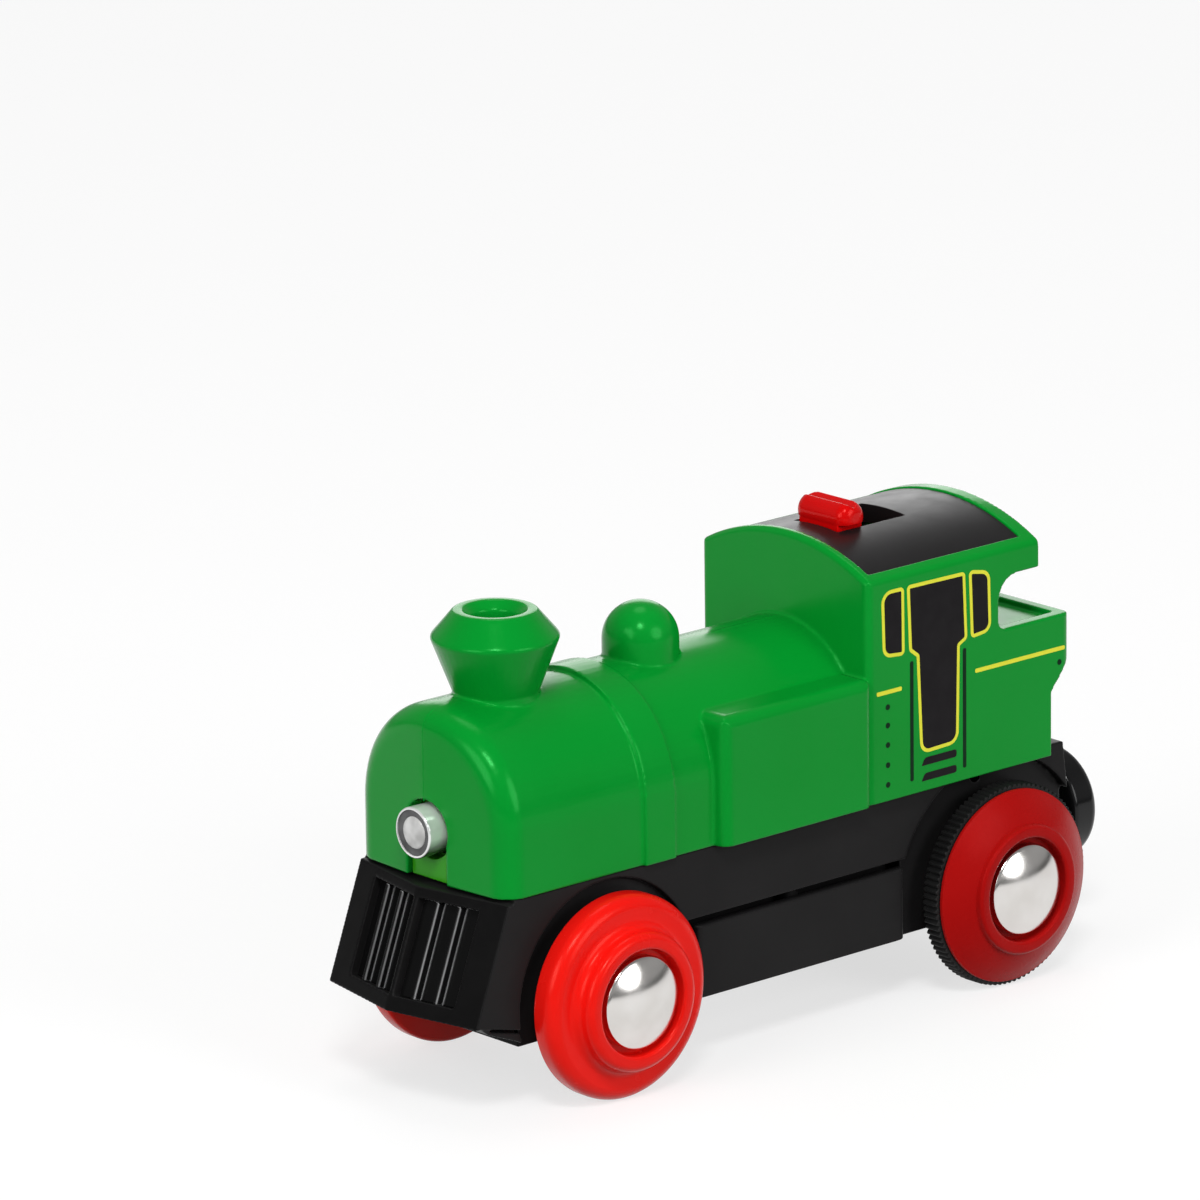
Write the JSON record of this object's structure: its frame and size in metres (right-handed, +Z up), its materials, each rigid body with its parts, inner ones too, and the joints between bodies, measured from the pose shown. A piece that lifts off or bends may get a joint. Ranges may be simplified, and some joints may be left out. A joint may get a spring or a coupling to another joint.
{
  "type": "toy train locomotive",
  "caption": "Battery-driven toy steam locomotive for grooved wooden track, with a geared rear axle, a sliding direction switch on the cab roof and a magnetic rear coupler.",
  "frame": {"origin": "on the ground under the middle of the length and width, where the wheels stand", "axes": "+X forward along the boiler, +Y to the engine's left, +Z up"},
  "size_m": [0.0965, 0.0366, 0.0531],
  "materials": {
    "body_green": "gloss",
    "lamp_green": "gloss",
    "roof_black": "gloss",
    "black_plastic": "satin",
    "wheel_red": "gloss",
    "knob_red": "gloss",
    "lens": "clear",
    "bulb": "gloss",
    "steel": "polished",
    "brass": "satin",
    "nylon": "satin",
    "rubber": "matte",
    "board": "matte",
    "cell": "satin",
    "print_yellow": "gloss",
    "print_black": "gloss"
  },
  "bodies": {
    "frame": {"body_shell": "body_green", "roof_panel": "roof_black", "lamp_holder": "lamp_green", "lamp_lens": "lens", "lamp_led": "bulb", "switch_board": "board", "chassis": "black_plastic", "plough_grille": "black_plastic", "battery_cover": "black_plastic", "cover_screws": "steel", "body_screws": "steel", "battery_cell": "cell", "contact_positive": "steel", "contact_negative": "steel", "motor_can": "steel", "motor_end_cap": "nylon", "motor_lead": "brass", "gear_frame": "black_plastic", "reduction_shaft": "steel", "idler_pin": "steel", "rear_bushes": "nylon", "front_bushes": "nylon", "coupler_head": "black_plastic", "coupler_magnet": "steel", "coupler_screw": "steel"},
    "front_wheelset": {"front_axle": "steel", "front_wheel_left": "wheel_red", "front_wheel_right": "wheel_red", "front_cap_left": "steel", "front_cap_right": "steel"},
    "rear_wheelset": {"rear_axle": "steel", "rear_wheel_left": "wheel_red", "rear_wheel_right": "wheel_red", "rear_tyre_left": "rubber", "rear_tyre_right": "rubber", "rear_cap_left": "steel", "rear_cap_right": "steel", "axle_gear": "nylon"},
    "idler": {"idler_gear": "nylon"},
    "reduction": {"reduction_gear": "nylon"},
    "rotor": {"motor_shaft": "steel", "motor_pinion": "brass"},
    "slider": {"switch_knob": "knob_red", "switch_wiper": "brass"}
  },
  "joints": [
    {"name": "front_axle_spin", "type": "hinge", "parent": "frame", "child": "front_wheelset", "pos_m": [0.0282, 0, 0.01085], "axis": [0, 1, 0], "continuous": true},
    {"name": "rear_axle_spin", "type": "hinge", "parent": "frame", "child": "rear_wheelset", "pos_m": [-0.0268, 0, 0.011], "axis": [0, 1, 0], "continuous": true},
    {"name": "idler_spin", "type": "hinge", "parent": "frame", "child": "idler", "pos_m": [-0.0255, 0, 0.02253], "axis": [0, 1, 0], "continuous": true},
    {"name": "reduction_spin", "type": "hinge", "parent": "frame", "child": "reduction", "pos_m": [-0.02327, 0, 0.03083], "axis": [0, 1, 0], "continuous": true},
    {"name": "motor_spin", "type": "hinge", "parent": "frame", "child": "rotor", "pos_m": [-0.01761, 0, 0.03559], "axis": [0, 1, 0], "continuous": true},
    {"name": "switch_slide", "type": "slide", "parent": "frame", "child": "slider", "axis": [1, 0, 0], "range_m": [-0.0055, 0]}
  ],
  "couplings": [
    {"joint": "idler_spin", "follows": "rear_axle_spin", "ratio": -0.70588},
    {"joint": "reduction_spin", "follows": "rear_axle_spin", "ratio": 2.6667},
    {"joint": "motor_spin", "follows": "rear_axle_spin", "ratio": -8.2963}
  ]
}
